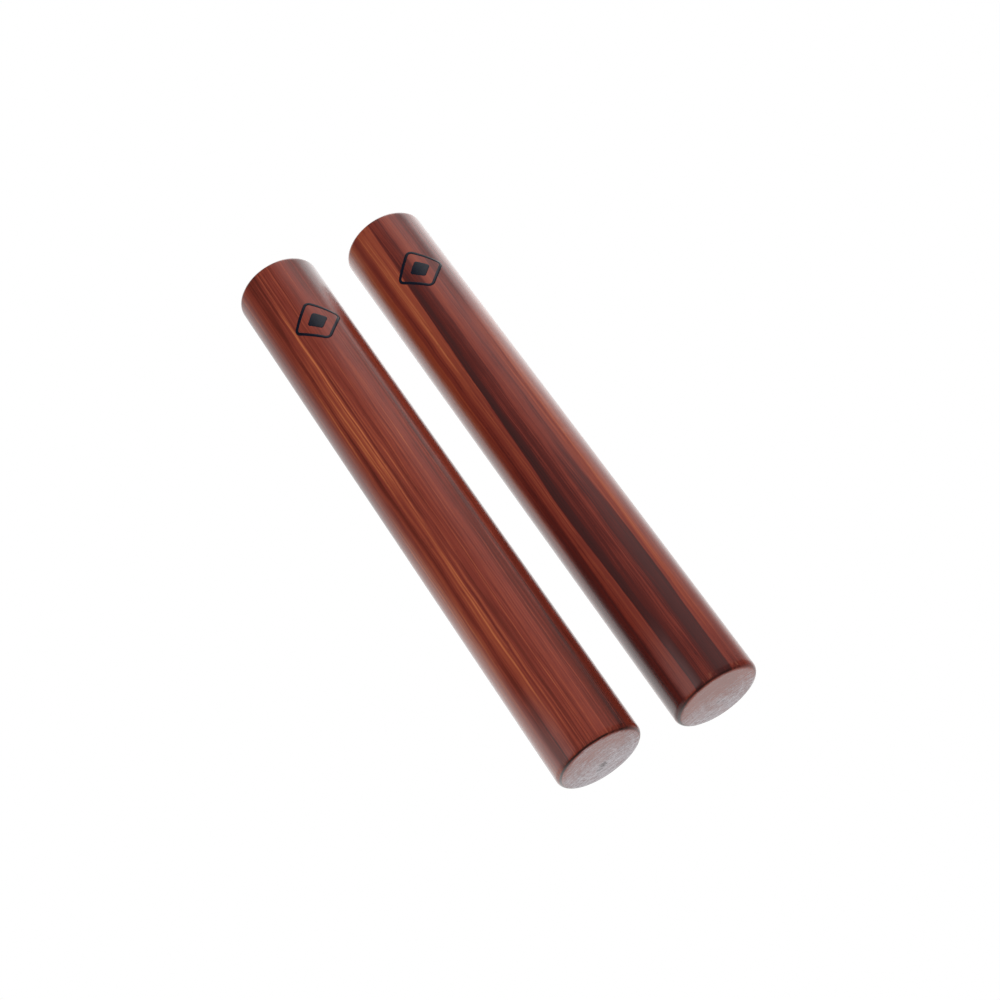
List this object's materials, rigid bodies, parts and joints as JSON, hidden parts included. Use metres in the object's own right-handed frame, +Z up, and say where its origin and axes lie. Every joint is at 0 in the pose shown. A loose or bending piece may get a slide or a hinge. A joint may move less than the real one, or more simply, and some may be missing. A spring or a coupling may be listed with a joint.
{
  "type": "claves",
  "caption": "Short straight round hardwood percussion sticks with softly rounded ends, lying side by side; the striking stick travels up to the held one.",
  "frame": {"origin": "on the resting surface, midway between the held and the striking clave and midway along them", "axes": "+X along the sticks, away from the ends with the printed marks; +Y from the held clave to the striking clave; +Z up"},
  "size_m": [0.18, 0.0604, 0.025],
  "materials": {
    "streaked_hardwood": "gloss",
    "banded_hardwood": "gloss",
    "printed_ink": "gloss"
  },
  "bodies": {
    "held_clave": {"held_clave": "streaked_hardwood", "held_clave_printed_mark": "printed_ink"},
    "striking_clave": {"striking_clave": "banded_hardwood", "striking_clave_printed_mark": "printed_ink"}
  },
  "joints": [
    {"name": "strike_slide", "type": "slide", "parent": "held_clave", "child": "striking_clave", "axis": [0, 1, 0], "range_m": [-0.01035, 0.15]}
  ]
}
